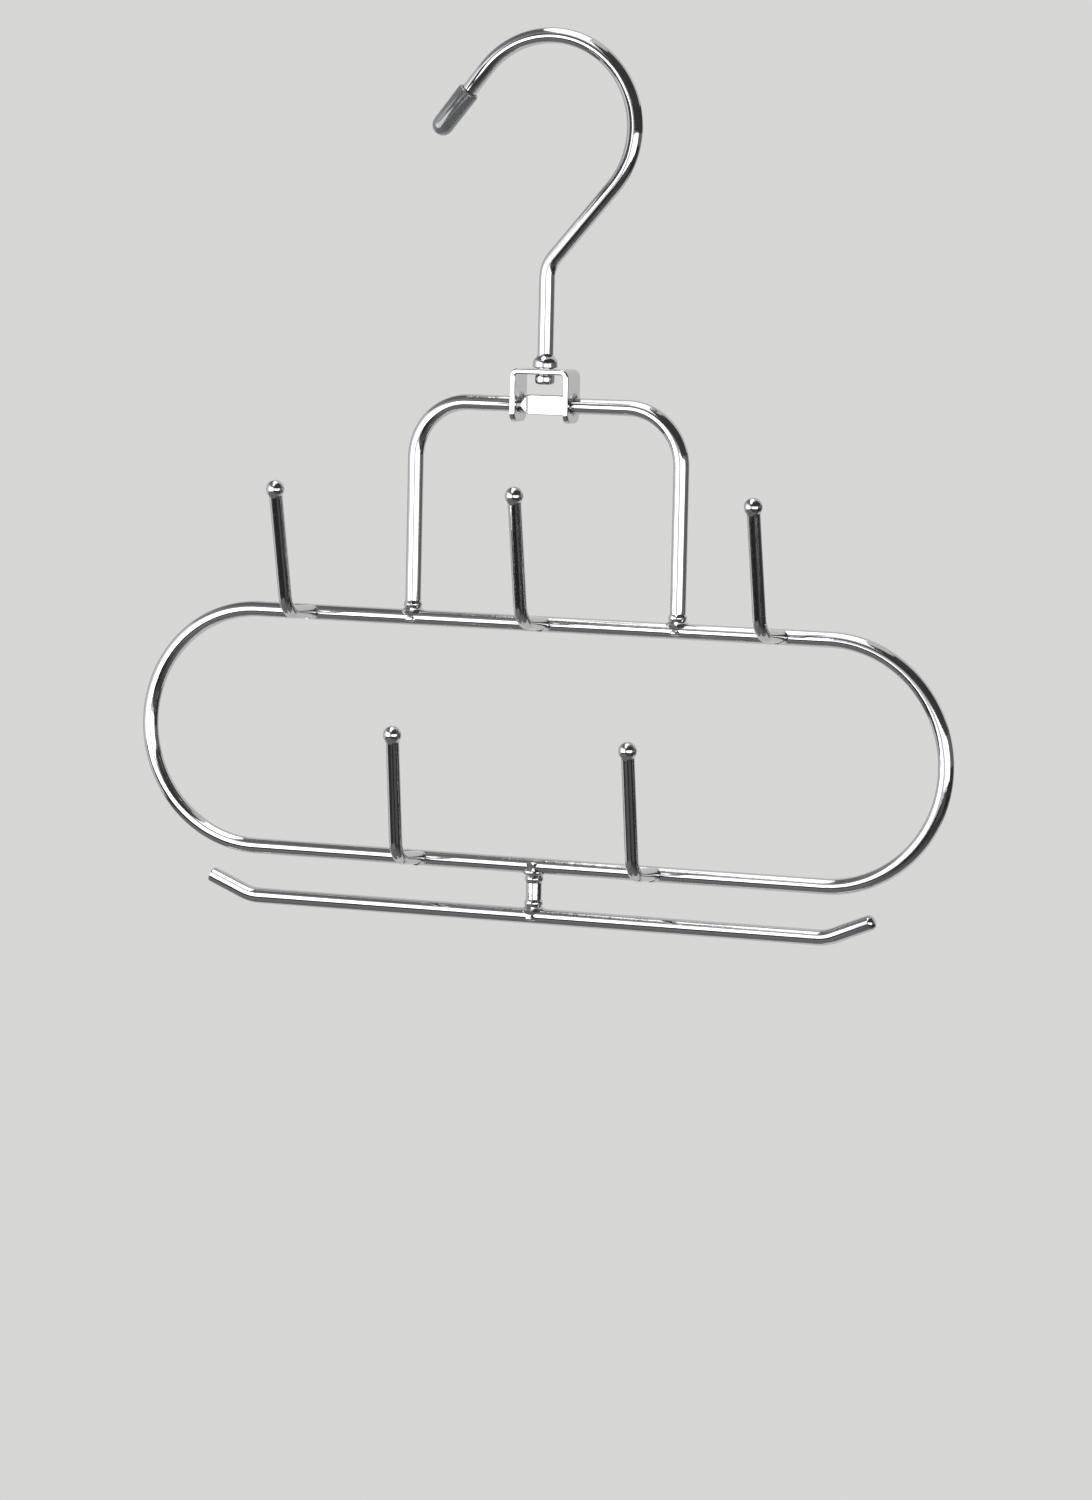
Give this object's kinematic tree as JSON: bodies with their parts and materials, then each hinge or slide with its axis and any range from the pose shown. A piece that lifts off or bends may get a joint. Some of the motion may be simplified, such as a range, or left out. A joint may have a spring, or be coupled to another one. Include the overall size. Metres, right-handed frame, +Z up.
{
  "type": "belt hanger",
  "caption": "Chromed wire belt hanger: swivel hook with capped tip, hinged yoke and long closed loop with ball-ended pegs in two rows, and a lower rail with lifted ends.",
  "frame": {"origin": "underside of the hook wire at the crown of the bowl, where a clothes rod bears, on the swivel's axis", "axes": "+X to the right along the bars seen from the peg side, +Y to the back, away from the pegs, +Z up along the shank"},
  "size_m": [0.2302, 0.0298, 0.2351],
  "materials": {
    "chrome": "bright smooth plating over drawn steel wire and strip",
    "cap": "satin grey soft plastic"
  },
  "bodies": {
    "hook": {"hook": "chrome", "hook_tip_cap": "cap"},
    "bracket": {"swivel_bracket": "chrome"},
    "rack": {"yoke": "chrome", "loop_frame": "chrome", "peg_top_left": "chrome", "peg_top_middle": "chrome", "peg_top_right": "chrome", "peg_bottom_left": "chrome", "peg_bottom_right": "chrome", "rail": "chrome", "rail_link": "chrome"}
  },
  "joints": [
    {"name": "hook_swivel", "type": "hinge", "parent": "hook", "child": "bracket", "pos_m": [0, 0, -0.0844], "axis": [0, 0, 1], "continuous": true},
    {"name": "rack_swing", "type": "hinge", "parent": "bracket", "child": "rack", "pos_m": [0, 0, -0.0939], "axis": [1, 0, 0], "range_deg": [-120, 155]}
  ]
}
